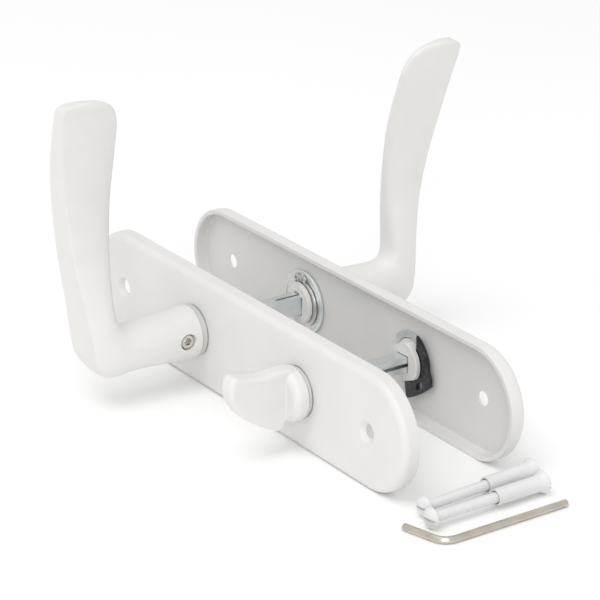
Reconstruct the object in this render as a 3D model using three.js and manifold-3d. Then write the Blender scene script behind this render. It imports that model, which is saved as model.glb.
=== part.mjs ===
// Lever door-handle set on long backplates, for a door with a privacy bolt.
// Two mirrored backplates face each other across the door gap. Each carries a lever on a
// square spindle. The front plate also carries a thumbturn, and the rear plate the coin
// slot that opens it from outside. Two sleeve bolts and a hex key lie beside the set.
//
// Millimetres. X runs along the backplates, Y through the door, Z up.
// The origin is the middle of the edge that the front backplate stands on.
import * as THREE from 'three';
import { mergeVertices } from 'three/addons/utils/BufferGeometryUtils.js';
import Module from 'manifold-3d';

const wasm = await Module();
wasm.setup();

// Driving dimensions.
const doorThickness = 40;
const plateLength = 210;
const plateHeight = 44;
const plateDepth = 6.5;
const plateWeb = 1.8;
const plateRim = 1.9;
const plateFillet = 2.5;
const screwSpacing = 165;
const screwHoleRadius = 2.7;
const screwSinkRadius = 4.3;
const leverX = -30;
const turnX = 40;
const leverSpindle = 7;
const turnSpindle = 6;
const gap = 0.3;
const rearLeverPlay = 4; // degrees that the loose rear lever hangs past the front one
const rearClipTurn = -7; // degrees from the rear circlip's lugs to the top of its groove

// Depth positions on one side of the door, from the rim (0) outwards.
const webInside = plateDepth - plateWeb;
const leverRing = 2.2;
const turnRing = 1.2;
const leverNeck = plateDepth + gap + leverRing + gap;
const turnNeck = plateDepth + gap + turnRing + gap;
const bossEnd = 0.2;
const clipThickness = 1;
const washerThickness = 0.8;
const washerTop = webInside - gap;
const washerBottom = washerTop - washerThickness;
const clipTop = washerBottom - gap;
const clipBottom = clipTop - clipThickness;
const grooveTop = washerBottom;
const grooveBottom = clipBottom - gap;

// Radii round the lever and thumbturn axes.
const spigotRadius = 8.4;
const grooveRadius = 7.4;
const bushInner = spigotRadius + gap;
const bushOuter = bushInner + 0.5;
const plateHole = bushOuter + gap;
const leverRingRadius = 10;
const turnRingRadius = 9.8;
const leverWasherRadius = 12.8;
const turnWasherRadius = 11.4;
const clipInner = grooveRadius + gap;
const clipOuter = 9.9;
const socketDepth = 26;
const stepDepth = 1.7; // where the lower half of a lever's spigot ends
const flatDistance = 7; // from the axis to each flat of a turn's spigot
const flatTilt = 23; // degrees

// Set screw in each lever's neck.
const setScrewRadius = 2.9;
const setScrewLength = 5;
const setScrewDepth = leverNeck + 5.9;
const hexKeyAcross = 2.5;

// Thumbturn and emergency release.
const turnHubRadius = 10.3;
const turnHubHeight = 5.5;
const gripThickness = 7.2;
const releaseHeight = 5;
const releaseSocketDepth = 10.8;
const coinSlotWidth = 2.2;
const coinSlotDepth = 1.6;

// Sleeve bolts, measured along the bolt from the screw's head.
const boltHeadRadius = 3.9;
const boltHeadHeight = 2.6;
const threadRadius = 2;
const threadEnd = 38;
const sleeveStart = 29.5;
const sleeveRadius = 3;
const sleeveBore = threadRadius + gap;
const sleeveBoreEnd = 47;
const flareStart = 48.5;
const flareRadius = 4.2;
const boltLength = 51.5;

// Geometry helpers.

// Closed, outward-facing copy of a geometry that keeps only its positions.
function closed(geometry) {
  const bare = geometry.clone();
  bare.deleteAttribute('normal');
  bare.deleteAttribute('uv');
  const merged = mergeVertices(bare, 1e-4);
  const index = Array.from(merged.index.array);
  const position = merged.getAttribute('position');
  const corner = [new THREE.Vector3(), new THREE.Vector3(), new THREE.Vector3()];
  const kept = [];
  let volume = 0;
  for (let i = 0; i < index.length; i += 3) {
    const [a, b, c] = index.slice(i, i + 3);
    if (a === b || b === c || a === c) continue;
    kept.push(a, b, c);
    [a, b, c].forEach((vertex, k) => corner[k].fromBufferAttribute(position, vertex));
    volume += corner[0].dot(corner[1].cross(corner[2]));
  }
  if (volume < 0) {
    for (let i = 0; i < kept.length; i += 3) {
      [kept[i], kept[i + 1]] = [kept[i + 1], kept[i]];
    }
  }
  merged.setIndex(kept);
  return merged;
}

function solid(geometry) {
  const bare = closed(geometry);
  return new wasm.Manifold(new wasm.Mesh({
    numProp: 3,
    vertProperties: new Float32Array(bare.getAttribute('position').array),
    triVerts: new Uint32Array(bare.index.array),
  }));
}

function surface(manifold) {
  const mesh = manifold.getMesh();
  const geometry = new THREE.BufferGeometry();
  geometry.setAttribute('position', new THREE.BufferAttribute(mesh.vertProperties, 3));
  geometry.setIndex(new THREE.BufferAttribute(mesh.triVerts, 1));
  return geometry;
}

// Solid of revolution round Z from [radius, z] pairs.
function turned(profile, segments = 28) {
  const points = profile.map(([radius, z]) => new THREE.Vector2(radius, z));
  return new THREE.LatheGeometry(points, segments).rotateX(Math.PI / 2);
}

function rod(radius, bottom, top, segments = 28) {
  return turned([[0, bottom], [radius, bottom], [radius, top], [0, top]], segments);
}

function block(low, high) {
  const size = high.map((value, axis) => value - low[axis]);
  const middle = high.map((value, axis) => (value + low[axis]) / 2);
  return new THREE.BoxGeometry(...size).translate(...middle);
}

function prism(shape, bottom, top, curveSegments = 12) {
  const options = { depth: top - bottom, bevelEnabled: false, curveSegments };
  return new THREE.ExtrudeGeometry(shape, options).translate(0, 0, bottom);
}

function stadium(inset) {
  const radius = plateHeight / 2 - inset;
  const centre = (plateLength - plateHeight) / 2;
  const shape = new THREE.Shape();
  shape.moveTo(-centre, -radius);
  shape.lineTo(centre, -radius);
  shape.absarc(centre, 0, radius, -Math.PI / 2, Math.PI / 2, false);
  shape.lineTo(-centre, radius);
  shape.absarc(-centre, 0, radius, Math.PI / 2, Math.PI * 1.5, false);
  return shape;
}

// Flat ring between two angles, in degrees, with both ends cut square.
function ringSector(inner, outer, from, to) {
  const start = THREE.MathUtils.degToRad(from);
  const end = THREE.MathUtils.degToRad(to);
  const shape = new THREE.Shape();
  shape.absarc(0, 0, outer, start, end, false);
  shape.absarc(0, 0, inner, end, start, true);
  return shape;
}

// Materials.
const lacquer = { color: 0xe6e5e2, roughness: 0.42, metalness: 0.0 };
const zinc = { color: 0xb4bcc0, roughness: 0.35, metalness: 1.0 };
const blackened = { color: 0x26272b, roughness: 0.45, metalness: 0.6 };
const nickel = { color: 0xb8b0a2, roughness: 0.3, metalness: 1.0 };
const nylon = { color: 0xe2e2df, roughness: 0.6, metalness: 0.0 };

function named(name, geometry, look) {
  const mesh = new THREE.Mesh(geometry, new THREE.MeshStandardMaterial(look));
  mesh.name = name;
  return mesh;
}

// Backplate: a shallow pressed tray with a rounded outer edge.
function backplate() {
  const outline = stadium(0);
  const blank = new THREE.ExtrudeGeometry(outline, {
    depth: plateDepth,
    bevelEnabled: true,
    bevelThickness: plateFillet,
    bevelSize: plateFillet,
    bevelOffset: -plateFillet,
    bevelSegments: 3,
    curveSegments: 16,
  }).translate(0, 0, -plateFillet);
  const reach = plateLength;
  const doorSide = block([-reach, -reach, -reach], [reach, reach, 0]);
  const hollow = prism(stadium(plateRim), -1, webInside, 16);
  let plate = solid(blank).subtract(solid(doorSide)).subtract(solid(hollow));
  [leverX, turnX].forEach((x) => {
    plate = plate.subtract(solid(rod(plateHole, 0, plateDepth + 1).translate(x, 0, 0)));
  });
  const sink = screwSinkRadius - screwHoleRadius;
  const screwHole = [
    [0, 0],
    [screwHoleRadius, 0],
    [screwHoleRadius, plateDepth - sink],
    [screwSinkRadius + 1, plateDepth + 1],
    [0, plateDepth + 1],
  ];
  [-1, 1].forEach((end) => {
    const cutter = turned(screwHole, 20).translate(end * screwSpacing / 2, 0, 0);
    plate = plate.subtract(solid(cutter));
  });
  return surface(plate);
}

// Nylon bush that lines a hole in the plate, with a ring on the outer face.
function bush(ringRadius, ringThickness) {
  const ringBottom = plateDepth + gap;
  return closed(turned([
    [bushInner, washerTop],
    [bushOuter, washerTop],
    [bushOuter, ringBottom],
    [ringRadius, ringBottom],
    [ringRadius, ringBottom + ringThickness],
    [bushInner, ringBottom + ringThickness],
    [bushInner, washerTop],
  ]));
}

// Washer under the lever's circlip, with a raised outer rim.
function leverWasher() {
  const rimWidth = 1.1;
  const rimRise = 0.3;
  return closed(turned([
    [bushInner, washerBottom],
    [leverWasherRadius - rimWidth, washerBottom],
    [leverWasherRadius - rimWidth, washerBottom - rimRise],
    [leverWasherRadius, washerBottom - rimRise],
    [leverWasherRadius, washerTop],
    [bushInner, washerTop],
    [bushInner, washerBottom],
  ]));
}

// Turns a flat piece over for the side whose second axis points down.
function handed(geometry, up, bottom, top) {
  return up > 0 ? geometry : geometry.rotateX(Math.PI).translate(0, 0, bottom + top);
}

// Open washer under the thumbturn's clip.
function turnWasher(up) {
  const shape = ringSector(bushInner, turnWasherRadius, -100, 148);
  const flat = closed(prism(shape, washerBottom, washerTop, 22));
  return handed(flat, up, washerBottom, washerTop);
}

// Circlip with its gap and two pierced lugs towards the top of the plate.
function circlip(up) {
  const halfGap = 6;
  const lugRadius = 1.7;
  const lugHole = 0.8;
  const ring = ringSector(clipInner, clipOuter, 90 + halfGap, 450 - halfGap);
  let clip = solid(prism(ring, clipBottom, clipTop, 24));
  [-1, 1].forEach((hand) => {
    const angle = THREE.MathUtils.degToRad(90 + hand * (halfGap + 6));
    const place = [clipOuter * Math.cos(angle), clipOuter * Math.sin(angle), 0];
    const lug = rod(lugRadius, clipBottom, clipTop, 14).translate(...place);
    const hole = rod(lugHole, clipBottom - 1, clipTop + 1, 8).translate(...place);
    const clear = rod(clipInner, clipBottom - 1, clipTop + 1);
    clip = clip.add(solid(lug).subtract(solid(clear))).subtract(solid(hole));
  });
  return surface(clip).rotateZ(up > 0 ? 0 : Math.PI);
}

// Black spring clip on the thumbturn's spigot: a curved arm that widens into a
// square-cornered foot with a window in it.
function horseshoeClip(up) {
  const armRadius = 13;
  const armEdge = 5.2;
  const footStart = THREE.MathUtils.degToRad(-104);
  const foot = [clipInner * Math.cos(footStart), clipInner * Math.sin(footStart)];
  const shape = new THREE.Shape();
  shape.absarc(0, 0, armRadius, Math.acos(armEdge / armRadius), 0, true);
  shape.lineTo(14.2, -2);
  shape.lineTo(14.6, -5.4);
  shape.quadraticCurveTo(8.5, -11.2, -0.3, -15.1);
  shape.lineTo(...foot);
  shape.absarc(0, 0, clipInner, footStart, Math.acos(armEdge / clipInner), false);
  shape.closePath();
  const opening = new THREE.Shape();
  opening.moveTo(5.6, -6.9);
  opening.lineTo(5.9, -9.6);
  opening.lineTo(9.2, -8.3);
  opening.lineTo(8.9, -5.4);
  opening.closePath();
  const clip = solid(prism(shape, clipBottom, clipTop, 18));
  const pierced = surface(clip.subtract(solid(prism(opening, clipBottom - 1, clipTop + 1))));
  return handed(pierced, up, clipBottom, clipTop);
}

// Spigot that passes through the plate and carries the clip groove.
function spigot(top) {
  return turned([
    [0, bossEnd],
    [spigotRadius, bossEnd],
    [spigotRadius, grooveBottom],
    [grooveRadius, grooveBottom],
    [grooveRadius, grooveTop],
    [spigotRadius, grooveTop],
    [spigotRadius, top],
    [0, top],
  ]);
}

// Lever's spigot: one half of its end stands proud of the other.
function leverSpigot() {
  const reach = spigotRadius + 1;
  const step = block([-reach, -reach, bossEnd - 1], [1.5, reach, stepDepth]);
  return solid(spigot(leverNeck + 1)).subtract(solid(step));
}

// Thumbturn's and release's spigot, with two tilted flats on its end.
function turnSpigot(up) {
  const tilt = THREE.MathUtils.degToRad(up * flatTilt);
  const reach = spigotRadius + 1;
  let body = solid(spigot(turnNeck + 1));
  [[flatDistance, reach], [-reach, -flatDistance]].forEach(([low, high]) => {
    const cutter = block([-reach, low, bossEnd - 1], [reach, high, grooveBottom]).rotateZ(tilt);
    body = body.subtract(solid(cutter));
  });
  return body;
}

function squareSocket(across, depth) {
  const half = across / 2 + gap;
  return block([-half, -half, bossEnd - 1], [half, half, depth]);
}

// Lever stations from the plate to the tip. Each crosses the lever from its door side to
// its outer side. "Out" is measured from the plate's face, "up" from the lever's axis and
// "side" along the plate. Flatness 0 is a round section, 1 one with a flat outer face.
// [inner out, up, side, outer out, up, side, thickness, flatness]
const leverStations = [
  [2.8, 10.3, 0.0, 2.8, -10.3, 0.0, 20.6, 0],
  [9.0, 10.0, 0.0, 9.5, -10.1, 0.0, 20.1, 0],
  [17.0, 9.7, 0.0, 18.5, -9.7, 0.0, 19.4, 0],
  [25.0, 9.4, 0.2, 29.5, -9.3, -0.2, 18.8, 0],
  [30.4, 9.5, 0.5, 37.4, -9.7, -0.8, 18.7, 0.25],
  [33.6, 10.7, 0.9, 43.0, -8.2, -1.8, 18.8, 0.6],
  [35.5, 13.4, 0.7, 46.0, -2.8, -2.8, 18.8, 0.9],
  [36.2, 18.0, -0.4, 47.1, 6.0, -3.6, 18.4, 1],
  [35.8, 27.5, -2.1, 48.6, 20.0, -5.1, 16.3, 1],
  [35.3, 38.5, -3.0, 50.8, 34.5, -6.2, 13.6, 1],
  [35.0, 50.0, -2.9, 53.1, 49.5, -5.3, 12.0, 1],
  [34.6, 62.0, -1.8, 55.3, 63.0, -3.2, 10.6, 1],
  [34.4, 73.0, 0.6, 57.0, 75.5, -0.4, 9.3, 1],
  [34.5, 83.0, 3.2, 58.1, 87.0, 2.9, 8.0, 1],
  [34.8, 90.0, 5.2, 58.7, 95.0, 5.6, 7.0, 1],
  [36.0, 94.8, 6.5, 58.8, 98.4, 6.6, 6.5, 1],
  [38.4, 98.2, 7.6, 57.7, 100.2, 7.2, 6.0, 1],
  [42.5, 100.6, 8.2, 55.0, 101.2, 7.6, 5.0, 1],
  [47.5, 101.6, 8.4, 51.5, 101.7, 8.0, 3.2, 1],
];
const leverSides = 24;
const creaseAngle = Math.PI / 4;

// Point of a unit section: first along the station from inner (-1) to outer (1), then across.
function leverSection(angle, flatness) {
  const round = [Math.cos(angle), Math.sin(angle)];
  const turn = Math.abs(angle);
  const hand = Math.sign(angle);
  let flat = [1, angle / creaseAngle];
  if (turn > creaseAngle) {
    const sweep = (turn - creaseAngle) / (Math.PI - creaseAngle) * Math.PI / 2;
    const fullness = 2 / 2.4;
    flat = [1 - 2 * Math.sin(sweep) ** fullness, hand * Math.cos(sweep) ** fullness];
  }
  return [0, 1].map((axis) => THREE.MathUtils.lerp(round[axis], flat[axis], flatness));
}

// One lever: a round neck that turns into a flat-faced, swept grip. up is 1 where the
// side's second axis points up and -1 where it points down.
function leverBody(up) {
  const last = leverStations.length - 1;
  const blank = new THREE.CylinderGeometry(1, 1, 1, leverSides, last);
  const position = blank.getAttribute('position');
  for (let i = 0; i < position.count; i += 1) {
    const station = leverStations[Math.round((0.5 - position.getY(i)) * last)];
    const inner = station.slice(0, 3);
    const outer = station.slice(3, 6);
    const [thickness, flatness] = station.slice(6);
    const angle = Math.atan2(position.getX(i), position.getZ(i));
    const size = Math.min(1, Math.hypot(position.getX(i), position.getZ(i)));
    const wrapped = Math.abs(angle) > Math.PI - 1e-6 ? Math.PI : angle;
    const [along, across] = leverSection(wrapped, flatness);
    const share = (1 + along * size) / 2;
    const [out, height, side] = inner.map((value, axis) => (
      THREE.MathUtils.lerp(value, outer[axis], share)));
    position.setXYZ(i, side + across * size * thickness / 2, up * height, plateDepth + out);
  }
  return blank;
}

function lever(up) {
  const body = solid(leverBody(up)).add(leverSpigot());
  const socket = solid(squareSocket(leverSpindle, socketDepth));
  const tapped = rod(setScrewRadius + gap, 0, 2 * spigotRadius, 24)
    .rotateY(Math.PI / 2)
    .translate(0, 0, setScrewDepth);
  return surface(body.subtract(socket).subtract(solid(tapped)));
}

// Hexagon-socket set screw that bears on the spindle from the +X side.
function setScrew() {
  const start = leverSpindle / 2 + gap;
  const end = start + setScrewLength;
  const body = rod(setScrewRadius, start, end, 24);
  const hexRadius = hexKeyAcross / 2 / Math.cos(Math.PI / 6);
  const socket = rod(hexRadius, end - 2.4, end + 1, 6);
  const screw = solid(body).subtract(solid(socket));
  return surface(screw).rotateY(Math.PI / 2).translate(0, 0, setScrewDepth);
}

// Side outline of the thumbturn's grip inside its rounded edge: out from the plate's
// face, then up from the axis.
function gripOutline() {
  const shape = new THREE.Shape();
  shape.moveTo(5, -8.2);
  shape.lineTo(9, -8.2);
  shape.lineTo(9.3, -10.5);
  shape.lineTo(11, -10.9);
  shape.quadraticCurveTo(19.5, -6.6, 25.4, -1.2);
  shape.quadraticCurveTo(29.6, 3, 29.4, 7.5);
  shape.quadraticCurveTo(29.4, 11.8, 27.8, 11.6);
  shape.quadraticCurveTo(18.5, 8.4, 12, 9.7);
  shape.quadraticCurveTo(8.5, 10, 5, 9.5);
  return shape;
}

function thumbturn() {
  const hubTop = turnNeck + turnHubHeight;
  const hub = solid(turned([
    [0, turnNeck],
    [turnHubRadius, turnNeck],
    [turnHubRadius, hubTop - 2],
    [turnHubRadius - 0.7, hubTop - 0.7],
    [turnHubRadius - 2, hubTop],
    [0, hubTop],
  ]));
  const edge = 1.4;
  const grip = new THREE.ExtrudeGeometry(gripOutline(), {
    depth: gripThickness - 2 * edge,
    bevelEnabled: true,
    bevelThickness: edge,
    bevelSize: edge,
    bevelSegments: 2,
    curveSegments: 5,
  }).translate(0, 0, edge - gripThickness / 2);
  grip.rotateY(-Math.PI / 2).translate(0, 0, plateDepth);
  const body = hub.add(solid(grip)).add(turnSpigot(1));
  return surface(body.subtract(solid(squareSocket(turnSpindle, socketDepth - 8))));
}

// Round release on the outer side, turned with a coin.
function emergencyRelease() {
  const top = turnNeck + releaseHeight;
  const disc = solid(turned([
    [0, turnNeck],
    [turnHubRadius, turnNeck],
    [turnHubRadius, top - 1.2],
    [turnHubRadius - 1.2, top],
    [0, top],
  ]));
  const reach = turnHubRadius - 3;
  const half = coinSlotWidth / 2;
  const slot = block([-half, -reach, top - coinSlotDepth], [half, reach, top + 1]);
  const socket = squareSocket(turnSpindle, releaseSocketDepth);
  const body = disc.add(turnSpigot(-1));
  return surface(body.subtract(solid(slot)).subtract(solid(socket)));
}

// Square spindle along Y, with a saw cut across its rear end.
function spindle(across, front, rear, cut) {
  const half = across / 2;
  const bar = solid(block([-half, front, -half], [half, rear, half]));
  return surface(bar.subtract(solid(block(cut.low, cut.high))));
}

// Sleeve nut with a countersunk, slotted head, along Z from the screw's head.
function boltSleeve() {
  const body = turned([
    [sleeveBore, sleeveStart],
    [sleeveRadius, sleeveStart],
    [sleeveRadius, flareStart],
    [flareRadius, boltLength - 0.8],
    [flareRadius, boltLength],
    [0, boltLength],
    [0, sleeveBoreEnd],
    [sleeveBore, sleeveBoreEnd],
    [sleeveBore, sleeveStart],
  ], 18);
  const reach = flareRadius + 1;
  const slot = block([-reach, -0.5, boltLength - 1], [reach, 0.5, boltLength + 1]);
  return surface(solid(body).subtract(solid(slot)));
}

// Machine screw with a domed, slotted head.
function boltScrew() {
  const body = turned([
    [0, 0],
    [2.2, 0.3],
    [boltHeadRadius - 0.4, 1.1],
    [boltHeadRadius, 2],
    [boltHeadRadius, boltHeadHeight],
    [threadRadius, boltHeadHeight],
    [threadRadius, threadEnd - 0.6],
    [threadRadius - 0.6, threadEnd],
    [0, threadEnd],
  ], 18);
  const slot = block([-boltHeadRadius - 1, -0.5, -1], [boltHeadRadius + 1, 0.5, 1.2]);
  return surface(solid(body).subtract(solid(slot)));
}

// Hexagon bar bent once; it lies flat, its long arm along Y.
function hexKey() {
  const radius = hexKeyAcross / 2 / Math.cos(Math.PI / 6);
  const section = new THREE.Shape();
  for (let corner = 0; corner < 6; corner += 1) {
    const angle = corner * Math.PI / 3 + Math.PI / 6;
    const point = [radius * Math.cos(angle), radius * Math.sin(angle)];
    if (corner === 0) section.moveTo(...point);
    else section.lineTo(...point);
  }
  section.closePath();
  const bend = 5;
  const longArm = 52.6;
  const shortArm = 17.5;
  const shortAngle = THREE.MathUtils.degToRad(195);
  const shortWay = new THREE.Vector3(Math.cos(shortAngle), Math.sin(shortAngle), 0);
  const corner = new THREE.Vector3(0, 0, 0);
  const longStart = new THREE.Vector3(0, bend, 0);
  const longEnd = new THREE.Vector3(0, longArm, 0);
  const shortStart = shortWay.clone().multiplyScalar(bend);
  const shortEnd = shortWay.clone().multiplyScalar(shortArm);
  const route = new THREE.CurvePath();
  route.add(new THREE.LineCurve3(longEnd, longStart));
  route.add(new THREE.QuadraticBezierCurve3(longStart, corner, shortStart));
  route.add(new THREE.LineCurve3(shortStart, shortEnd));
  const options = { steps: 20, bevelEnabled: false, extrudePath: route };
  return closed(new THREE.ExtrudeGeometry(section, options));
}

// Assembly.
const set = new THREE.Group();
const door = new THREE.Group();
door.position.set(0, doorThickness / 2 + 2, plateHeight / 2);
set.add(door);

// One side of the door: its third axis points away from the door.
function doorSide(hand) {
  const side = new THREE.Group();
  side.rotation.x = -hand * Math.PI / 2;
  side.position.y = hand * doorThickness / 2;
  door.add(side);
  return side;
}

function addAt(side, x, mesh, turn = 0) {
  mesh.position.x = x;
  mesh.rotation.z = THREE.MathUtils.degToRad(turn);
  side.add(mesh);
}

[['front', -1], ['rear', 1]].forEach(([where, hand]) => {
  const side = doorSide(hand);
  const up = -hand;
  const turn = hand < 0 ? 0 : rearLeverPlay;
  const clipTurn = hand < 0 ? 0 : rearClipTurn;
  addAt(side, 0, named(`${where}_backplate`, backplate(), lacquer));
  addAt(side, leverX, named(`${where}_lever_bush`, bush(leverRingRadius, leverRing), nylon));
  addAt(side, leverX, named(`${where}_lever`, lever(up), lacquer), turn);
  addAt(side, leverX, named(`${where}_set_screw`, setScrew(), nickel), turn);
  addAt(side, leverX, named(`${where}_lever_washer`, leverWasher(), zinc));
  addAt(side, leverX, named(`${where}_lever_circlip`, circlip(up), zinc), clipTurn);
  addAt(side, turnX, named(`${where}_turn_bush`, bush(turnRingRadius, turnRing), nylon));
  addAt(side, turnX, named(`${where}_turn_washer`, turnWasher(up), zinc));
  addAt(side, turnX, named(`${where}_turn_clip`, horseshoeClip(up), blackened));
  if (hand < 0) addAt(side, turnX, named('thumbturn', thumbturn(), lacquer));
  else addAt(side, turnX, named('emergency_release', emergencyRelease(), lacquer));
});

const leverCut = { low: [-0.6, 10.5, -1], high: [0.6, 43, leverSpindle] };
const leverBar = spindle(leverSpindle, -40, 42, leverCut);
addAt(door, leverX, named('lever_spindle', leverBar, zinc));
const turnCut = { low: [-1, 8, -0.7], high: [turnSpindle, 40, 0.7] };
const turnBar = spindle(turnSpindle, -34, 27.5, turnCut);
addAt(door, turnX, named('turn_spindle', turnBar, zinc));

// Loose hardware on the floor: [x, y] of each screw's head, and its turn from +Y.
const bolts = [[111.6, -24.8, 3], [119.7, -28, 0.4]];
bolts.forEach(([x, y, turn], number) => {
  const bolt = new THREE.Group();
  bolt.position.set(x, y, flareRadius - plateHeight / 2);
  bolt.rotation.set(-Math.PI / 2, 0, THREE.MathUtils.degToRad(turn), 'ZXY');
  bolt.add(named(`bolt_sleeve_${number + 1}`, boltSleeve(), lacquer));
  bolt.add(named(`bolt_screw_${number + 1}`, boltScrew(), lacquer));
  door.add(bolt);
});

const key = named('hex_key', hexKey(), nickel);
key.position.set(132, -29.5, hexKeyAcross / 2 - plateHeight / 2);
door.add(key);

export default set;
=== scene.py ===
"""Looks for a white lever door-handle set on long backplates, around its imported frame."""
import math

import bmesh
import bpy
from mathutils import Matrix, Vector


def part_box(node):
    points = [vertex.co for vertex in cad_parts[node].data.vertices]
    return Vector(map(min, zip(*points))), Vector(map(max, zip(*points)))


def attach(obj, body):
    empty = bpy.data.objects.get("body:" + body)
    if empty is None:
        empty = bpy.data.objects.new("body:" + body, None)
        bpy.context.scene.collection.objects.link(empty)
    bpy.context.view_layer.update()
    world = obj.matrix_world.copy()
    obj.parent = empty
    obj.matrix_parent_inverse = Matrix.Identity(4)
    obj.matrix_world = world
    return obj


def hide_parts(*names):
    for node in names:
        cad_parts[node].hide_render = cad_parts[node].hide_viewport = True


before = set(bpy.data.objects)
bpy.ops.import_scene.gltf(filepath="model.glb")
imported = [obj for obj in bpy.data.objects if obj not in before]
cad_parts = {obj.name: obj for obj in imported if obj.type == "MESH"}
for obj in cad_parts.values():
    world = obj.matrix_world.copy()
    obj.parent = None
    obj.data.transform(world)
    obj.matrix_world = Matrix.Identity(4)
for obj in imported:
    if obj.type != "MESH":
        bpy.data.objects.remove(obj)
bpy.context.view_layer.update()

MM = 0.001

# ---------------------------------------------------------------- measures from the frame, in mm


def cad_box(node):
    low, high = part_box(node)
    return low / MM, high / MM


front_low, front_high = cad_box("front_backplate")
rear_low = cad_box("rear_backplate")[0]
PLATE_LENGTH = front_high.x - front_low.x
PLATE_HEIGHT = front_high.z - front_low.z
PLATE_DEPTH = front_high.y - front_low.y
AXIS_Z = (front_low.z + front_high.z) / 2
DOOR_FACE = {"front": front_high.y, "rear": rear_low.y}


def axis_x(node):
    low, high = cad_box(node)
    return (low.x + high.x) / 2


LEVER_X = axis_x("front_lever_bush")
TURN_X = axis_x("front_turn_bush")
washer_low, washer_high = cad_box("front_turn_washer")
clip_low, clip_high = cad_box("front_lever_circlip")
boss_high = cad_box("front_lever")[1]

# Depths outwards from the door face of a plate, and radii round the two axes.
WEB_INSIDE = 4.7
GAP = 0.3
WASHER_TOP = DOOR_FACE["front"] - washer_low.y
WASHER_BOTTOM = DOOR_FACE["front"] - washer_high.y
CLIP_TOP = DOOR_FACE["front"] - clip_low.y
CLIP_BOTTOM = DOOR_FACE["front"] - clip_high.y
BOSS_END = DOOR_FACE["front"] - boss_high.y
RING_TOP = {kind: DOOR_FACE["front"] - cad_box(f"front_{kind}_bush")[0].y for kind in ("lever", "turn")}
LEVER_NECK = RING_TOP["lever"] + GAP
TURN_NECK = RING_TOP["turn"] + GAP
SPIGOT_RADIUS = 8.4
GROOVE_RADIUS = 7.4
CLIP_INNER = 7.7
BUSH_INNER = 8.7
BUSH_OUTER = 9.2
HOLE_RADIUS = 9.5
LEVER_SPINDLE = 7.0
TURN_SPINDLE = 6.0
LEVER_WASHER_RADIUS = 12.8
TURN_WASHER_RADIUS = 11.4
STEP_DEPTH = 1.7
STEP_EDGE = 1.5
FLAT_DISTANCE = 7.0
FLAT_TILT = 23.0
SCREW_SPACING = 165.0
SET_SCREW_DEPTH = LEVER_NECK + 5.9
RELEASE_SOCKET_DEPTH = 10.8
REAR_LEVER_PLAY = 4.0
REAR_CLIP_TURN = -7.0

# ---------------------------------------------------------------- camera

CAMERA_AZIMUTH = 55.79
CAMERA_ELEVATION = 21.96
CAMERA_DISTANCE = 964.3
CAMERA_LENS = 154.35
TARGET = Vector((0.73, (DOOR_FACE["front"] + DOOR_FACE["rear"]) / 2 + 1.07, 38.07))


def make_camera():
    turn = math.radians(CAMERA_AZIMUTH)
    rise = math.radians(CAMERA_ELEVATION)
    back = Vector((
        math.sin(turn) * math.cos(rise),
        -math.cos(turn) * math.cos(rise),
        math.sin(rise),
    ))
    data = bpy.data.cameras.new("camera")
    data.lens = CAMERA_LENS
    data.sensor_width = 36
    data.clip_start = 0.01
    data.clip_end = 50
    camera = bpy.data.objects.new("camera", data)
    camera.location = (TARGET + back * CAMERA_DISTANCE) * MM
    camera.rotation_mode = "QUATERNION"
    camera.rotation_quaternion = (-back).to_track_quat("-Z", "Y")
    bpy.context.scene.collection.objects.link(camera)
    bpy.context.scene.camera = camera


make_camera()

# ---------------------------------------------------------------- materials


NOISE_LOW, NOISE_HIGH = 0.3, 0.7
RAMP_LOW, RAMP_HIGH = 0.35, 0.65


class Look:
    """A node material with short calls for the nodes that every finish here uses."""

    def __init__(self, name):
        self.material = bpy.data.materials.new(name)
        self.material.use_nodes = True
        self.tree = self.material.node_tree
        self.shader = self.tree.nodes["Principled BSDF"]
        self.coordinates = self.tree.nodes.new("ShaderNodeTexCoord").outputs["Object"]

    def link(self, start, end):
        self.tree.links.new(start, end)

    def noise(self, scale, detail=3.0, stretch=None):
        node = self.tree.nodes.new("ShaderNodeTexNoise")
        node.inputs["Scale"].default_value = scale
        node.inputs["Detail"].default_value = detail
        start = self.coordinates
        if stretch:
            mapping = self.tree.nodes.new("ShaderNodeMapping")
            mapping.inputs["Scale"].default_value = stretch
            self.link(start, mapping.inputs["Vector"])
            start = mapping.outputs["Vector"]
        self.link(start, node.inputs["Vector"])
        return node.outputs["Fac"]

    def spread(self, value, low, high):
        node = self.tree.nodes.new("ShaderNodeMapRange")
        node.inputs["From Min"].default_value = NOISE_LOW
        node.inputs["From Max"].default_value = NOISE_HIGH
        node.inputs["To Min"].default_value = low
        node.inputs["To Max"].default_value = high
        self.link(value, node.inputs["Value"])
        return node.outputs["Result"]

    def between(self, value, first, second):
        node = self.tree.nodes.new("ShaderNodeValToRGB")
        node.color_ramp.elements[0].position = RAMP_LOW
        node.color_ramp.elements[1].position = RAMP_HIGH
        node.color_ramp.elements[0].color = (*first, 1)
        node.color_ramp.elements[1].color = (*second, 1)
        self.link(value, node.inputs["Fac"])
        return node.outputs["Color"]

    def bump(self, value, height, strength=1.0):
        node = self.tree.nodes.new("ShaderNodeBump")
        node.inputs["Distance"].default_value = height
        node.inputs["Strength"].default_value = strength
        self.link(value, node.inputs["Height"])
        if self.shader.inputs["Normal"].is_linked:
            self.link(self.shader.inputs["Normal"].links[0].from_socket, node.inputs["Normal"])
        self.link(node.outputs["Normal"], self.shader.inputs["Normal"])

    def set(self, **values):
        for name, value in values.items():
            self.shader.inputs[name.replace("_", " ")].default_value = value

    def drive(self, name, output):
        self.link(output, self.shader.inputs[name])


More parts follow.
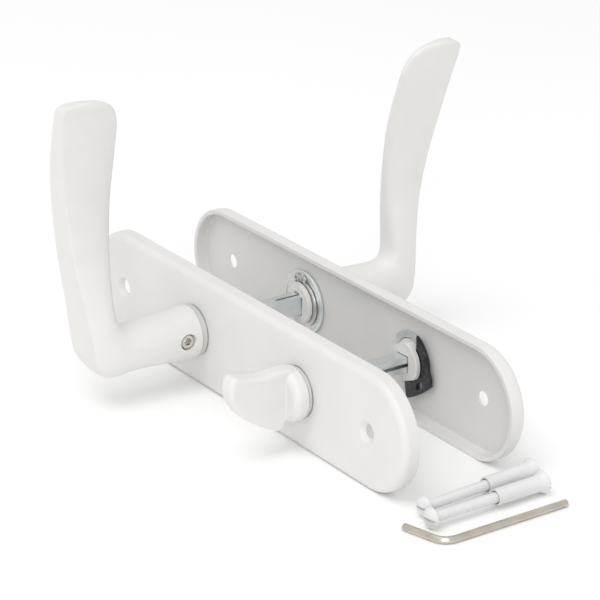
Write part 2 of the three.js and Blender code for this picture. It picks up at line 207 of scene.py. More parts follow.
def powder_coat(name, light, dark):
    """White powder coat: faint mottling, orange-peel skin, satin gloss."""
    look = Look(name)
    look.set(Specular_IOR_Level=0.45, Coat_Weight=0.12, Coat_Roughness=0.25)
    look.drive("Base Color", look.between(look.noise(60, 4), dark, light))
    look.drive("Roughness", look.spread(look.noise(240, 4), 0.36, 0.46))
    look.bump(look.noise(1100, 2), 0.00002, 0.5)
    look.bump(look.noise(4200, 2), 0.000006, 0.35)
    return look.material


def plated(name, light, dark, gloss, stretch):
    """Plated steel: drawn along one direction, with cloudy colour and fine scratches."""
    look = Look(name)
    look.set(Metallic=1.0)
    look.drive("Base Color", look.between(look.noise(160, 5), dark, light))
    look.drive("Roughness", look.spread(look.noise(700, 5, stretch), gloss, gloss + 0.2))
    look.bump(look.noise(2600, 4, stretch), 0.00002, 0.5)
    return look.material


def blackened(name):
    """Blackened spring steel: dark, smooth and a little cloudy."""
    look = Look(name)
    look.set(Metallic=0.35, Specular_IOR_Level=0.8)
    look.drive("Base Color", look.between(look.noise(300, 4), (0.012, 0.011, 0.015), (0.022, 0.021, 0.026)))
    look.drive("Roughness", look.spread(look.noise(900, 4), 0.2, 0.32))
    look.bump(look.noise(2000, 3), 0.000008, 0.5)
    return look.material


def moulded(name, light, dark):
    """Moulded nylon: soft satin with a faint grain."""
    look = Look(name)
    look.set(Specular_IOR_Level=0.35, Subsurface_Weight=0.05)
    look.drive("Base Color", look.between(look.noise(120, 3), dark, light))
    look.drive("Roughness", look.spread(look.noise(500, 3), 0.45, 0.6))
    look.bump(look.noise(2400, 2), 0.00001, 0.5)
    return look.material


WHITE = (0.745, 0.738, 0.722)
WHITE_DIM = (0.72, 0.713, 0.698)
LOOKS = {
    "plate_lacquer": powder_coat("plate_lacquer", WHITE, WHITE_DIM),
    "handle_lacquer": powder_coat("handle_lacquer", (0.755, 0.748, 0.73), (0.73, 0.723, 0.706)),
    "bolt_lacquer": powder_coat("bolt_lacquer", (0.75, 0.752, 0.75), (0.71, 0.712, 0.71)),
    # Nylon grey, partly the bush's own tone and partly painted shade: darkened to stand for the shadow in
    # the recessed gap between neck and plate.
    "bush_nylon": moulded("bush_nylon", (0.63, 0.622, 0.595), (0.59, 0.582, 0.556)),
    "washer_zinc": plated("washer_zinc", (0.88, 0.91, 0.915), (0.79, 0.83, 0.84), 0.3, (1, 1, 1)),
    "clip_zinc": plated("clip_zinc", (0.80, 0.79, 0.76), (0.66, 0.655, 0.63), 0.25, (1, 1, 1)),
    "spindle_zinc": plated("spindle_zinc", (0.86, 0.885, 0.89), (0.78, 0.82, 0.835), 0.32, (1, 0.05, 1)),
    "clip_black": blackened("clip_black"),
    "screw_nickel": plated("screw_nickel", (0.80, 0.78, 0.74), (0.70, 0.68, 0.64), 0.1, (1, 1, 1)),
    "key_nickel": plated("key_nickel", (0.68, 0.63, 0.55), (0.60, 0.555, 0.485), 0.22, (1, 0.05, 1)),
}

# ---------------------------------------------------------------- mesh building, in mm

TO_METRES = Matrix.Scale(MM, 4)
BEVEL_LIMIT = 35.0
SMALL_BEVEL = 0.15
NORMAL_WEIGHT = 80


def side_place(side, x):
    """Local x along the plate, local z outwards from the door face of that side."""
    if side == "front":
        return Matrix(((1, 0, 0, x), (0, 0, -1, DOOR_FACE[side]), (0, 1, 0, AXIS_Z), (0, 0, 0, 1)))
    return Matrix(((1, 0, 0, x), (0, 0, 1, DOOR_FACE[side]), (0, -1, 0, AXIS_Z), (0, 0, 0, 1)))


def lever_place(side, rear_turn=REAR_LEVER_PLAY):
    """Place of a lever or its clip; the rear ones are turned a little from the front ones."""
    turn = rear_turn if side == "rear" else 0.0
    return side_place(side, LEVER_X) @ Matrix.Rotation(math.radians(turn), 4, "Z")


def finish_piece(name, work, place, body, slot, nodes, flat_angle=40.0, weighted=True):
    """Turns a bmesh in mm into a placed, smooth-shaded piece that rides on its body."""
    bmesh.ops.transform(work, matrix=TO_METRES @ place, verts=work.verts)
    bmesh.ops.recalc_face_normals(work, faces=work.faces)
    mesh = bpy.data.meshes.new(name)
    work.to_mesh(mesh)
    work.free()
    mesh.polygons.foreach_set("use_smooth", [True] * len(mesh.polygons))
    mesh.set_sharp_from_angle(angle=math.radians(flat_angle))
    piece = bpy.data.objects.new(name, mesh)
    bpy.context.scene.collection.objects.link(piece)
    piece.data.materials.append(LOOKS[slot])
    if weighted:
        modifier = piece.modifiers.new("weighted", "WEIGHTED_NORMAL")
        modifier.keep_sharp = True
        modifier.weight = NORMAL_WEIGHT
    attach(piece, body)
    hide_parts(*nodes)
    return piece


def grid(work, rows, wrap_rows=False):
    """Faces over closed rows of vertices. Rows of one vertex become fans."""
    count = len(rows)
    for i in range(count if wrap_rows else count - 1):
        first, second = rows[i], rows[(i + 1) % count]
        size = max(len(first), len(second))
        for j in range(size):
            k = (j + 1) % size
            corners = [first[j % len(first)], first[k % len(first)],
                       second[k % len(second)], second[j % len(second)]]
            unique = list(dict.fromkeys(corners))
            if len(unique) > 2:
                work.faces.new(unique)


def capped_grid(work, rows):
    """A grid with a face across its first row and its last."""
    grid(work, rows)
    work.faces.new(rows[0])
    work.faces.new(rows[-1])


def lathe(profile, segments=96, closed=False):
    """Solid of revolution round z from (radius, z) pairs."""
    work = bmesh.new()
    rows = []
    for radius, z in profile:
        if radius < 1e-6:
            rows.append([work.verts.new((0, 0, z))])
            continue
        angles = [2 * math.pi * i / segments for i in range(segments)]
        rows.append([work.verts.new((radius * math.cos(a), radius * math.sin(a), z)) for a in angles])
    grid(work, rows, wrap_rows=closed)
    return work


def block(low, high):
    """Box between two corners."""
    work = bmesh.new()
    bmesh.ops.create_cube(work, size=1)
    size = Vector(high) - Vector(low)
    middle = (Vector(high) + Vector(low)) / 2
    bmesh.ops.transform(
        work, matrix=Matrix.Translation(middle) @ Matrix.Diagonal((*size, 1)), verts=work.verts)
    return work


def moved(work, matrix):
    bmesh.ops.transform(work, matrix=matrix, verts=work.verts)
    return work


def joined(*parts):
    """One bmesh that holds every part."""
    whole = bmesh.new()
    for part in parts:
        mesh = bpy.data.meshes.new("part")
        part.to_mesh(mesh)
        part.free()
        whole.from_mesh(mesh)
        bpy.data.meshes.remove(mesh)
    return whole


def as_object(name, work):
    """Scene object made from a bmesh, for modifiers to work on."""
    bmesh.ops.recalc_face_normals(work, faces=work.faces)
    mesh = bpy.data.meshes.new(name)
    work.to_mesh(mesh)
    work.free()
    thing = bpy.data.objects.new(name, mesh)
    bpy.context.scene.collection.objects.link(thing)
    return thing


def applied(thing):
    """The bmesh of an object with its modifiers, and the object removed."""
    depsgraph = bpy.context.evaluated_depsgraph_get()
    work = bmesh.new()
    work.from_object(thing, depsgraph)
    bpy.data.objects.remove(thing)
    return work


def carved(body, tool):
    """The body with the tool cut out of it."""
    base = as_object("base", body)
    cutter = as_object("cutter", tool)
    modifier = base.modifiers.new("cut", "BOOLEAN")
    modifier.operation = "DIFFERENCE"
    modifier.object = cutter
    modifier.solver = "EXACT"
    result = applied(base)
    bpy.data.objects.remove(cutter)
    return result


def bevelled(work, width, segments=2):
    """Rounds every edge sharper than the limit."""
    thing = as_object("bevelled", work)
    modifier = thing.modifiers.new("bevel", "BEVEL")
    modifier.width = width
    modifier.segments = segments
    modifier.limit_method = "ANGLE"
    modifier.angle_limit = math.radians(BEVEL_LIMIT)
    return applied(thing)


def arc(centre, radius, start, end, steps):
    """Points on a circular arc between two angles in degrees."""
    angles = [math.radians(start + (end - start) * i / steps) for i in range(steps + 1)]
    return [(centre[0] + radius * math.cos(a), centre[1] + radius * math.sin(a)) for a in angles]


def outline_points(start, pieces, steps=8):
    """Points along lines and quadratic curves."""
    points = [start]
    for piece in pieces:
        origin = points[-1]
        if len(piece) == 2:
            points.append(piece)
            continue
        cx, cy, ex, ey = piece
        for step in range(1, steps + 1):
            t = step / steps
            points.append(tuple((1 - t) ** 2 * o + 2 * t * (1 - t) * c + t * t * e
                                for o, c, e in zip(origin, (cx, cy), (ex, ey))))
    return points


# ---------------------------------------------------------------- backplates

PLATE_FILLET = 2.5
PLATE_RIM = 1.9
INNER_FILLET = 0.9
ROUND_STEPS = 48
CUT_PAST = 1


def stadium(inset, z):
    """Points round a plate's outline, moved inwards by the inset."""
    radius = PLATE_HEIGHT / 2 - inset
    centre = (PLATE_LENGTH - PLATE_HEIGHT) / 2
    outline = arc((centre, 0), radius, -90, 90, ROUND_STEPS)
    outline += arc((-centre, 0), radius, 90, 270, ROUND_STEPS)
    return [(x, y, z) for x, y in outline]


def plate_profile():
    """Inset from the outline and depth, from the outer face round the rim to the inside."""
    outer = [(PLATE_FILLET - x, PLATE_DEPTH - PLATE_FILLET + y)
             for x, y in arc((0, 0), PLATE_FILLET, 90, 0, 10)]
    rim = [(0, 0.35), (0.1, 0.1), (0.35, 0), (PLATE_RIM - 0.3, 0), (PLATE_RIM, 0.3)]
    inner = [(PLATE_RIM + INNER_FILLET - x, WEB_INSIDE - INNER_FILLET + y)
             for x, y in arc((0, 0), INNER_FILLET, 0, 90, 5)]
    return [(PLATE_FILLET + 1.2, PLATE_DEPTH)] + outer + rim + inner + [(PLATE_RIM + 2.0, WEB_INSIDE)]


def through_hole(radius, x):
    """Cutter for a plain hole with a small chamfer at both faces of the web."""
    edge = 0.3
    mouth = radius + edge + CUT_PAST
    low, high = WEB_INSIDE - CUT_PAST, PLATE_DEPTH + CUT_PAST
    profile = [(0, low), (mouth, low), (radius, WEB_INSIDE + edge),
               (radius, PLATE_DEPTH - edge), (mouth, high), (0, high)]
    return moved(lathe(profile), Matrix.Translation((x, 0, 0)))


def countersunk_hole(x):
    """Cutter for a screw hole that widens at 45 degrees to the outer face."""
    shank, sink = 2.7, 4.3
    high = PLATE_DEPTH + CUT_PAST
    profile = [(0, 1), (shank + 0.3, WEB_INSIDE - CUT_PAST), (shank, WEB_INSIDE + 0.2),
               (shank, PLATE_DEPTH - (sink - shank)), (sink + CUT_PAST, high), (0, high)]
    return moved(lathe(profile, 64), Matrix.Translation((x, 0, 0)))


def make_backplate(side):
    work = bmesh.new()
    rows = []
    for inset, z in plate_profile():
        rows.append([work.verts.new(point) for point in stadium(inset, z)])
    capped_grid(work, rows)
    cutters = [through_hole(HOLE_RADIUS, LEVER_X), through_hole(HOLE_RADIUS, TURN_X)]
    cutters += [countersunk_hole(end * SCREW_SPACING / 2) for end in (-1, 1)]
    work = carved(work, joined(*cutters))
    node = f"{side}_backplate"
    finish_piece(f"{node}_shell", work, side_place(side, 0), f"{side}_side",
                 "plate_lacquer", [node], 30)


# ---------------------------------------------------------------- levers

# Across each station: inner edge (out, up, side), outer edge (out, up, side), thickness, flatness.
LEVER_STATIONS = [
    (2.8, 10.3, 0.0, 2.8, -10.3, 0.0, 20.6, 0),
    (9.0, 10.0, 0.0, 9.5, -10.1, 0.0, 20.1, 0),
    (17.0, 9.7, 0.0, 18.5, -9.7, 0.0, 19.4, 0),
    (25.0, 9.4, 0.2, 29.5, -9.3, -0.2, 18.8, 0),
    (30.4, 9.5, 0.5, 37.4, -9.7, -0.8, 18.7, 0.25),
    (33.6, 10.7, 0.9, 43.0, -8.2, -1.8, 18.8, 0.6),
    (35.5, 13.4, 0.7, 46.0, -2.8, -2.8, 18.8, 0.9),
    (36.2, 18.0, -0.4, 47.1, 6.0, -3.6, 18.4, 1),
    (35.8, 27.5, -2.1, 48.6, 20.0, -5.1, 16.3, 1),
    (35.3, 38.5, -3.0, 50.8, 34.5, -6.2, 13.6, 1),
    (35.0, 50.0, -2.9, 53.1, 49.5, -5.3, 12.0, 1),
    (34.6, 62.0, -1.8, 55.3, 63.0, -3.2, 10.6, 1),
    (34.4, 73.0, 0.6, 57.0, 75.5, -0.4, 9.3, 1),
    (34.5, 83.0, 3.2, 58.1, 87.0, 2.9, 8.0, 1),
    (34.8, 90.0, 5.2, 58.7, 95.0, 5.6, 7.0, 1),
    (36.0, 94.8, 6.5, 58.8, 98.4, 6.6, 6.5, 1),
    (38.4, 98.2, 7.6, 57.7, 100.2, 7.2, 6.0, 1),
    (42.5, 100.6, 8.2, 55.0, 101.2, 7.6, 5.0, 1),
    (47.5, 101.6, 8.4, 51.5, 101.7, 8.0, 3.2, 1),
]
CREASE = math.pi / 4
FULLNESS = 2 / 2.4
LEVER_REACH = 58.75
STATION_STEPS = 8
SKIN_OVERLAP = 0.4


def smooth_rows(rows, steps):
    """Catmull-Rom curve through rows of numbers."""
    result = []
    last = len(rows) - 1
    for i in range(last):
        before, start = rows[max(i - 1, 0)], rows[i]
        end, after = rows[i + 1], rows[min(i + 2, last)]
        for step in range(steps):
            t = step / steps
            result.append(tuple(
                0.5 * (2 * b + (c - a) * t + (2 * a - 5 * b + 4 * c - d) * t * t
                       + (3 * b - a - 3 * c + d) * t ** 3)
                for a, b, c, d in zip(before, start, end, after)))
    result.append(rows[-1])
    return result


def lever_section(angle, flatness):
    """Point on a unit section between a circle and a flat-faced oval."""
    round_point = (math.cos(angle), math.sin(angle))
    turn = abs(angle)
    flat_point = (1.0, angle / CREASE)
    if turn > CREASE:
        sweep = (turn - CREASE) / (math.pi - CREASE) * math.pi / 2
        across = math.copysign(max(0.0, math.cos(sweep)) ** FULLNESS, angle)
        flat_point = (1 - 2 * math.sin(sweep) ** FULLNESS, across)
    return [a + (b - a) * flatness for a, b in zip(round_point, flat_point)]


def lever_angles():
    """Angles round a section, with a narrow facet in place of each sharp crease."""
    flat_half, side_start = CREASE - 0.035, CREASE + 0.02
    flat_steps, side_steps, crowding = 12, 30, 1.3
    flat = [flat_half * (2 * i / flat_steps - 1) for i in range(flat_steps + 1)]
    sides = [side_start + (math.pi - side_start) * (i / side_steps) ** crowding for i in range(side_steps)]
    return [-a for a in reversed(sides)] + flat + sides + [math.pi]


def lever_blade(up):
    """Neck, elbow and grip of a lever in one skin over its stations."""
    work = bmesh.new()
    rows = []
    for station in smooth_rows(LEVER_STATIONS, STATION_STEPS):
        inner, outer = Vector(station[:3]), Vector(station[3:6])
        half = station[6] / 2
        flatness = min(1.0, max(0.0, station[7]))
        row = []
        for angle in lever_angles():
            along, across = lever_section(angle, flatness)
            out, height, side = inner.lerp(outer, (1 + along) / 2)
            out = min(out, LEVER_REACH)
            row.append(work.verts.new((side + across * half, up * height, PLATE_DEPTH + out)))
        rows.append(row)
    capped_grid(work, rows)
    return work


def spigot(top):
    """Round end that passes through the plate, with a groove for its clip."""
    return lathe([
        (0, BOSS_END), (SPIGOT_RADIUS - 0.3, BOSS_END), (SPIGOT_RADIUS, BOSS_END + 0.3),
        (SPIGOT_RADIUS, CLIP_BOTTOM - GAP), (GROOVE_RADIUS, CLIP_BOTTOM - GAP),
        (GROOVE_RADIUS, WASHER_BOTTOM), (SPIGOT_RADIUS, WASHER_BOTTOM),
        (SPIGOT_RADIUS, top), (0, top)])


def square_socket(across, depth):
    half = across / 2 + GAP
    return block((-half, -half, BOSS_END - 1), (half, half, depth))


def lever_boss():
    """Stepped end of a lever's spigot: one half stands proud of the other."""
    reach = SPIGOT_RADIUS + 1
    step = block((-reach, -reach, BOSS_END - 1), (STEP_EDGE, reach, STEP_DEPTH))
    boss = carved(spigot(LEVER_NECK + SKIN_OVERLAP), step)
    return bevelled(carved(boss, square_socket(LEVER_SPINDLE, LEVER_NECK + 1)), 0.2)


def turn_boss(up):
    """End of the thumbturn's or release's spigot, with two tilted flats."""
    boss = spigot(TURN_NECK + SKIN_OVERLAP)
    reach = SPIGOT_RADIUS + 1
    tilt = Matrix.Rotation(math.radians(up * FLAT_TILT), 4, "Z")
    for low, high in ((FLAT_DISTANCE, reach), (-reach, -FLAT_DISTANCE)):
        flat = block((-reach, low, BOSS_END - 1), (reach, high, CLIP_BOTTOM - GAP))
        boss = carved(boss, moved(flat, tilt))
    return bevelled(carved(boss, square_socket(TURN_SPINDLE, TURN_NECK + 1)), 0.2)


def set_screw_place():
    """Place of a set screw in its lever: z runs along the plate from the lever's axis."""
    return Matrix.Translation((0, 0, SET_SCREW_DEPTH)) @ Matrix.Rotation(math.pi / 2, 4, "Y")


def make_lever(side):
    up = 1 if side == "front" else -1
    blade = lever_blade(up)
    radius, chamfer_start, chamfer_end = 3.2, 9.5, 10.7
    hole = lathe([(0, 3), (radius, 3), (radius, chamfer_start), (4.1, chamfer_end), (0, chamfer_end)], 48)
    blade = carved(blade, moved(hole, set_screw_place()))
    finish_piece(f"{side}_lever_casting", joined(blade, lever_boss()), lever_place(side),
                 f"{side}_handle", "handle_lacquer", [f"{side}_lever"], 50)


def make_set_screw(side):
    start, end, radius, socket = 3.8, 9.1, 2.9, 1.6
    body = lathe([
        (0, start), (radius - 0.7, start), (radius, start + 0.7), (radius, end - 0.5),
        (radius - 0.4, end), (0, end)], 48)
    hexagon = lathe([
        (0, end - 3.4), (socket, end - 3.2), (socket, end - 0.1),
        (socket + 0.3, end + 0.3), (0, end + 0.3)], 6)
    work = moved(carved(body, hexagon), set_screw_place())
    finish_piece(f"{side}_grub_screw", work, lever_place(side), f"{side}_handle",
                 "screw_nickel", [f"{side}_set_screw"], 30)


# ---------------------------------------------------------------- bushes, washers and clips


def make_bush(side, which, x, body):
    low_corner, high_corner = cad_box(f"{side}_{which}_bush")
    radius = (high_corner.x - low_corner.x) / 2
    low, top = PLATE_DEPTH + GAP, RING_TOP[which]
    work = lathe([
        (BUSH_INNER, WASHER_TOP), (BUSH_OUTER, WASHER_TOP), (BUSH_OUTER, low), (radius - 0.2, low),
        (radius, low + 0.2), (radius, top - 0.3), (radius - 0.3, top), (BUSH_INNER, top),
    ], closed=True)
    # The bush colour is partly painted shade for the shadow in the recessed gap round it.
    finish_piece(f"{side}_{which}_collar", work, side_place(side, x), body, "bush_nylon",
                 [f"{side}_{which}_bush"], 40)


def make_lever_washer(side):
    outer, bottom, rise = LEVER_WASHER_RADIUS, WASHER_BOTTOM, 0.3
    work = lathe([
        (BUSH_INNER, bottom + 0.15), (BUSH_INNER + 0.15, bottom), (outer - 1.5, bottom),
        (outer - 1.1, bottom - rise), (outer - 0.25, bottom - rise), (outer, bottom - rise + 0.25),
        (outer, WASHER_TOP - 0.2), (outer - 0.2, WASHER_TOP), (BUSH_INNER, WASHER_TOP),
    ], closed=True)
    finish_piece(f"{side}_lever_disc", work, side_place(side, LEVER_X), f"{side}_side", "washer_zinc",
                 [f"{side}_lever_washer"], 30)


def turned_over(work, side, bottom, top):
    """A flat piece as it is on the front side, or turned over for the rear side."""
    if side == "front":
        return work
    return moved(work, Matrix.Translation((0, 0, bottom + top)) @ Matrix.Rotation(math.pi, 4, "X"))


def make_turn_washer(side):
    """Open washer: a C whose gap faces down and towards the lever."""
    start, end = -100, 148
    band = ring_band(
        BUSH_INNER, lambda share: TURN_WASHER_RADIUS, start, end, WASHER_BOTTOM, WASHER_TOP, 72)
    work = turned_over(bevelled(band, SMALL_BEVEL), side, WASHER_BOTTOM, WASHER_TOP)
    finish_piece(f"{side}_turn_disc", work, side_place(side, TURN_X), f"{side}_side", "washer_zinc",
                 [f"{side}_turn_washer"], 30)


def ring_band(inner, outer_at, start, end, bottom, top, steps):
    """Flat ring between two angles; the outer radius is a function of the share travelled."""
    work = bmesh.new()
    rows = []
    for i in range(steps + 1):
        share = i / steps
        angle = math.radians(start + (end - start) * share)
        outer = outer_at(share)
        row = []
        for radius, z in ((inner, bottom), (outer, bottom), (outer, top), (inner, top)):
            row.append(work.verts.new((radius * math.cos(angle), radius * math.sin(angle), z)))
        rows.append(row)
    capped_grid(work, rows)
    return work


def make_circlip(side):
    """Ring that widens away from its gap, with a pierced lug on each end."""
    half_gap, lug_turn, lug_reach = 6, 12, 9.9
    lug_hole, lug_radius = 0.8, 1.7
    outer_at_gap, outer_growth = 8.9, 1.0

    def outer(share):
        return outer_at_gap + outer_growth * math.sin(math.pi * share)

    band = ring_band(CLIP_INNER, outer, 90 + half_gap, 450 - half_gap, CLIP_BOTTOM, CLIP_TOP, 96)
    lugs = []
    for hand in (-1, 1):
        angle = math.radians(90 + hand * lug_turn)
        centre = Matrix.Translation((lug_reach * math.cos(angle), lug_reach * math.sin(angle), 0))
        lug = lathe([(lug_hole, CLIP_BOTTOM), (lug_radius, CLIP_BOTTOM),
                     (lug_radius, CLIP_TOP), (lug_hole, CLIP_TOP)], 32, True)
        lugs.append(moved(lug, centre))
    work = bevelled(joined(band, *lugs), 0.12)
    if side == "rear":
        work = moved(work, Matrix.Rotation(math.pi, 4, "Z"))
    finish_piece(f"{side}_lever_ring", work, lever_place(side, REAR_CLIP_TURN), f"{side}_handle",
                 "clip_zinc", [f"{side}_lever_circlip"], 30)


def slab(outline, bottom, top):
    """Flat piece between two depths from its outline."""
    work = bmesh.new()
    rows = [[work.verts.new((x, y, z)) for x, y in outline] for z in (bottom, top)]
    capped_grid(work, rows)
    return work


def make_horseshoe(side):
    """Clip with a round arm cut straight along one edge, and a foot with a window."""
    arm, edge = 13.0, 5.2
    outline = arc((0, 0), arm, math.degrees(math.acos(edge / arm)), 0, 24)
    foot = [(14.6, -5.4), (8.5, -11.2, -0.3, -15.1)]
    outline += outline_points((14.2, -2), foot)
    outline += arc((0, 0), CLIP_INNER, -104, math.degrees(math.acos(edge / CLIP_INNER)), 40)
    window = [(5.6, -6.9), (5.9, -9.6), (9.2, -8.3), (8.9, -5.4)]
    cutter = slab(window, CLIP_BOTTOM - CUT_PAST, CLIP_TOP + CUT_PAST)
    work = bevelled(carved(slab(outline, CLIP_BOTTOM, CLIP_TOP), cutter), SMALL_BEVEL)
    work = turned_over(work, side, CLIP_BOTTOM, CLIP_TOP)
    finish_piece(f"{side}_turn_ring", work, side_place(side, TURN_X), f"{side}_turn", "clip_black",
                 [f"{side}_turn_clip"], 30)


# ---------------------------------------------------------------- thumbturn and release


def voxel_soft(work, size, rounds):
    """One skin round everything in the mesh, with its inside corners filled softly."""
    thing = as_object("soft", work)
    remesh = thing.modifiers.new("remesh", "REMESH")
    remesh.mode = "VOXEL"
    remesh.voxel_size = size
    smooth = thing.modifiers.new("smooth", "SMOOTH")
    smooth.factor = 0.5
    smooth.iterations = rounds
    return applied(thing)


TURN_HUB_RADIUS = 10.3
HUB_HEIGHT = 5.5
HUB_FILLET = 3
RELEASE_HEIGHT = 5
COIN_SLOT = (1.1, 7, 1.6)
GRIP_HALF = 3.6
SKIN_VOXEL = 0.28


def make_thumbturn():
    """Hub and grip under one soft skin; the grip's outline runs out from the plate and up."""
    outline = outline_points((4.0, -9.4), [
        (7.6, -9.6), (7.9, -11.6), (9.0, -12.2), (10.8, -12.2), (20.4, -8, 26.5, -2.2),
        (30.9, 2.6, 30.8, 7.5), (30.8, 13.2, 28, 13), (18.5, 9.8, 12, 11.1), (8.5, 11.4, 4.0, 10.9)])
    centre = Vector((15.0, 0.5))
    layers = [(GRIP_HALF, 1.4), (GRIP_HALF - 0.5, 0.5), (GRIP_HALF - 1.4, 0)]
    grip = bmesh.new()
    rows = []
    for x, inset in [(-x, inset) for x, inset in layers] + layers[::-1]:
        row = []
        for out, up in outline:
            away = Vector((out, up)) - centre
            point = centre + away * (1 - inset / away.length)
            row.append(grip.verts.new((x, point.y, PLATE_DEPTH + point.x)))
        rows.append(row)
    capped_grid(grip, rows)
    hub_top = TURN_NECK + HUB_HEIGHT
    shoulder = arc((TURN_HUB_RADIUS - HUB_FILLET, hub_top - HUB_FILLET), HUB_FILLET, 0, 90, 8)
    hub = lathe([(0, TURN_NECK), (TURN_HUB_RADIUS, TURN_NECK)] + shoulder + [(0, hub_top)])
    work = voxel_soft(joined(hub, grip), SKIN_VOXEL, 12)
    finish_piece("thumbturn_casting", joined(work, turn_boss(1)), side_place("front", TURN_X),
                 "front_turn", "handle_lacquer", ["thumbturn"], 50, weighted=False)


def make_release():
    """Round button with a slot for a coin."""
    top = TURN_NECK + RELEASE_HEIGHT
    radius = TURN_HUB_RADIUS
    slot_half, slot_reach, slot_depth = COIN_SLOT
    disc = lathe([(0, TURN_NECK), (radius, TURN_NECK), (radius, top - 1.2), (radius - 0.35, top - 0.35),
                  (radius - 1.2, top), (0, top)])
    slot = block((-slot_half, -slot_reach, top - slot_depth), (slot_half, slot_reach, top + CUT_PAST))
    disc = carved(disc, slot)
    disc = carved(disc, square_socket(TURN_SPINDLE, RELEASE_SOCKET_DEPTH))
    finish_piece("release_button", joined(bevelled(disc, SMALL_BEVEL), turn_boss(-1)),
                 side_place("rear", TURN_X), "rear_turn", "handle_lacquer", ["emergency_release"], 40)


# ---------------------------------------------------------------- spindles


# Corners of the saw cuts, from the middle of the spindle in x and z.
LEVER_CUT = ((-0.6, 32.5, -1), (0.6, 70, 5))
TURN_CUT = ((-1, 30, -0.7), (5, 70, 0.7))


def make_spindle(node, body, across, cut):
    """Square bar with a saw cut into one side at its rear end."""
    low, high = cad_box(node)
    half = across / 2
    bar = block((-half, low.y, -half), (half, high.y, half))
    bar = carved(bevelled(bar, 0.35), block(*cut))
    place = Matrix.Translation(((low.x + high.x) / 2, 0, AXIS_Z))
    finish_piece(f"{node}_bar", bar, place, body, "spindle_zinc", [node], 30)


# ---------------------------------------------------------------- loose hardware

THREAD_PITCH = 0.7
THREAD_DEPTH = 0.38
THREAD_STEPS = 6
THREAD_SEGMENTS = 24
THREAD_RADIUS = 2.0
THREAD_END = 38
HEAD_HEIGHT = 2.6
HEAD_RADIUS = 3.9
SLEEVE_START = 29.5
SLEEVE_RADIUS = 3.0
SLEEVE_BORE = 2.3
FLARE_RADIUS = 4.2
BOLT_LENGTH = 51.5
SLOT_HALF = 0.5
BOLT_HEAD = {1: (111.6, -2.8), 2: (119.7, -6.0)}
BOLT_TURN = {1: 3.0, 2: 0.4}


def threaded_rod(radius, start, end):
    """Rod whose surface rises and falls along a helix that fades out at the end."""
    work = bmesh.new()
    steps = round((end - start) / THREAD_PITCH * THREAD_STEPS)
    rows = []
    for i in range(steps + 1):
        z = start + (end - start) * i / steps
        fade = min(1.0, (end - z) / 1.2 + 0.25)
        row = []
        for j in range(THREAD_SEGMENTS):
            turn = j / THREAD_SEGMENTS
            wave = abs(((z - start) / THREAD_PITCH + turn) % 1 - 0.5) * 2
            r = radius * fade ** 0.5 - THREAD_DEPTH * (1 - wave) * fade
            angle = 2 * math.pi * turn
            row.append(work.verts.new((r * math.cos(angle), r * math.sin(angle), z)))
        rows.append(row)
    capped_grid(work, rows)
    return work


def bolt_place(number):
    """Place of a loose bolt: z runs from the middle of its head towards its sleeve."""
    sleeve_low, sleeve_high = cad_box(f"bolt_sleeve_{number}")
    turn = math.radians(BOLT_TURN[number])
    head_x, head_y = BOLT_HEAD[number]
    z = (sleeve_low.z + sleeve_high.z) / 2
    place = Matrix.Translation((head_x, head_y, z)) @ Matrix.Rotation(turn, 4, "Z")
    return place @ Matrix.Rotation(-math.pi / 2, 4, "X")


def make_bolt(number):
    """Slotted domed screw and the sleeve nut that it is turned into, flared and slotted too."""
    place = bolt_place(number)
    wide = FLARE_RADIUS + 0.8
    radius = HEAD_RADIUS
    head = lathe([
        (0, 0), (1.4, 0.08), (2.6, 0.45), (radius - 0.4, 1.15), (radius, 2.0), (radius, 2.4),
        (radius - 0.3, HEAD_HEIGHT), (0, HEAD_HEIGHT)], 48)
    head = carved(head, block((-wide, -SLOT_HALF, -1), (wide, SLOT_HALF, HEAD_HEIGHT / 2)))
    shank = threaded_rod(THREAD_RADIUS, HEAD_HEIGHT - 0.2, THREAD_END)
    finish_piece(f"bolt_thread_{number}", joined(head, shank), place, f"bolt_{number}", "bolt_lacquer",
                 [f"bolt_screw_{number}"], 35)
    start, end = SLEEVE_START, BOLT_LENGTH
    bore, outer, flare = SLEEVE_BORE, SLEEVE_RADIUS, FLARE_RADIUS
    sleeve = lathe([
        (bore, start + 0.3), (bore + 0.3, start), (outer - 0.2, start), (outer, start + 0.3),
        (outer, end - 3.4), (outer + 0.2, end - 2.8), (flare - 0.1, end - 1), (flare, end - 0.7),
        (flare, end - 0.2), (flare - 0.2, end), (0, end), (0, end - 4.5), (bore, end - 4.5)], 64, True)
    sleeve = carved(sleeve, block((-wide, -SLOT_HALF, end - 1), (wide, SLOT_HALF, end + 1)))
    finish_piece(f"bolt_socket_{number}", sleeve, place, "front_side", "bolt_lacquer",
                 [f"bolt_sleeve_{number}"], 35)


KEY_BEND = 5.0
KEY_LONG_ARM = 52.6
KEY_SHORT_ARM = 17.5
KEY_SHORT_WAY = 195


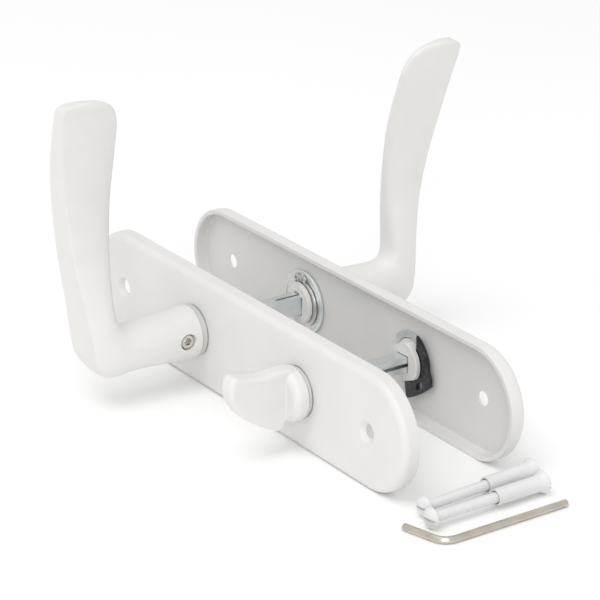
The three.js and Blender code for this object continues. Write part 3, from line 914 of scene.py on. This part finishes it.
def make_hex_key():
    """Bent hexagon bar whose edges are narrow facets."""
    low, high = cad_box("hex_key")
    across = high.z - low.z
    corner_radius = across / 2 / math.cos(math.pi / 6)
    edge_turn = 0.09
    radius = across / 2 / math.cos(math.pi / 6 - edge_turn)
    turn = math.radians(KEY_SHORT_WAY)
    short_way = Vector((math.cos(turn), math.sin(turn), 0))
    route = [Vector((0, KEY_LONG_ARM, 0)), Vector((0, KEY_BEND + 0.5, 0))]
    start, end = Vector((0, KEY_BEND, 0)), short_way * KEY_BEND
    bend_steps = 16
    for i in range(bend_steps + 1):
        t = i / bend_steps
        route.append(start * (1 - t) ** 2 + end * t * t)
    route += [short_way * (KEY_BEND + 0.5), short_way * KEY_SHORT_ARM]
    work = bmesh.new()
    rows = []
    for i, point in enumerate(route):
        ahead = route[min(i + 1, len(route) - 1)] - route[max(i - 1, 0)]
        across_way = ahead.normalized().cross(Vector((0, 0, 1)))
        row = []
        for corner in range(6):
            for nudge in (-edge_turn, edge_turn):
                angle = math.radians(60 * corner) + nudge
                offset = across_way * math.cos(angle) * radius + Vector((0, 0, 1)) * math.sin(angle) * radius
                row.append(work.verts.new(point + offset))
        rows.append(row)
    capped_grid(work, rows)
    place = Matrix.Translation((high.x - corner_radius, high.y - KEY_LONG_ARM, (low.z + high.z) / 2))
    finish_piece("hex_key_bar", work, place, "front_side", "key_nickel", ["hex_key"], 25)


# ---------------------------------------------------------------- assembly

for side in ("front", "rear"):
    make_backplate(side)
    make_lever(side)
    make_set_screw(side)
    make_bush(side, "lever", LEVER_X, f"{side}_side")
    make_bush(side, "turn", TURN_X, f"{side}_side")
    make_lever_washer(side)
    make_turn_washer(side)
    make_circlip(side)
    make_horseshoe(side)
make_thumbturn()
make_release()
make_spindle("lever_spindle", "front_handle", LEVER_SPINDLE, LEVER_CUT)
make_spindle("turn_spindle", "front_turn", TURN_SPINDLE, TURN_CUT)
for number in (1, 2):
    make_bolt(number)
make_hex_key()

# ---------------------------------------------------------------- floor and light


FLOOR_SIZE = 12
FLOOR_LIGHT = (0.96, 0.96, 0.96)
FLOOR_DIM = (0.95, 0.95, 0.95)
WORLD_STRENGTH = 0.78
LIGHT_AIM = (0, 0, 0.05)


def make_floor():
    bpy.ops.mesh.primitive_plane_add(size=FLOOR_SIZE)
    floor = bpy.context.object
    floor.name = "floor"
    look = Look("floor_white")
    look.set(Specular_IOR_Level=0.0, Roughness=1.0)
    look.drive("Base Color", look.between(look.noise(3), FLOOR_DIM, FLOOR_LIGHT))
    floor.data.materials.append(look.material)


def area_light(name, place, size, power):
    """Round soft box at a place in metres, aimed at the handle set."""
    data = bpy.data.lights.new(name, "AREA")
    data.shape = "DISK"
    data.size = size
    data.energy = power
    lamp = bpy.data.objects.new(name, data)
    lamp.location = place
    lamp.rotation_mode = "QUATERNION"
    lamp.rotation_quaternion = (Vector(LIGHT_AIM) - Vector(place)).to_track_quat("-Z", "Y")
    bpy.context.scene.collection.objects.link(lamp)


def make_light():
    world = bpy.data.worlds.new("studio")
    world.use_nodes = True
    background = world.node_tree.nodes["Background"]
    background.inputs["Color"].default_value = (1, 1, 1, 1)
    background.inputs["Strength"].default_value = WORLD_STRENGTH
    bpy.context.scene.world = world
    area_light("near", (1.9, -1.3, 1.1), 1.2, 13.5)
    area_light("top", (0.3, -0.9, 2.3), 1.8, 18)
    bpy.context.scene.view_settings.view_transform = "Standard"


make_floor()
make_light()
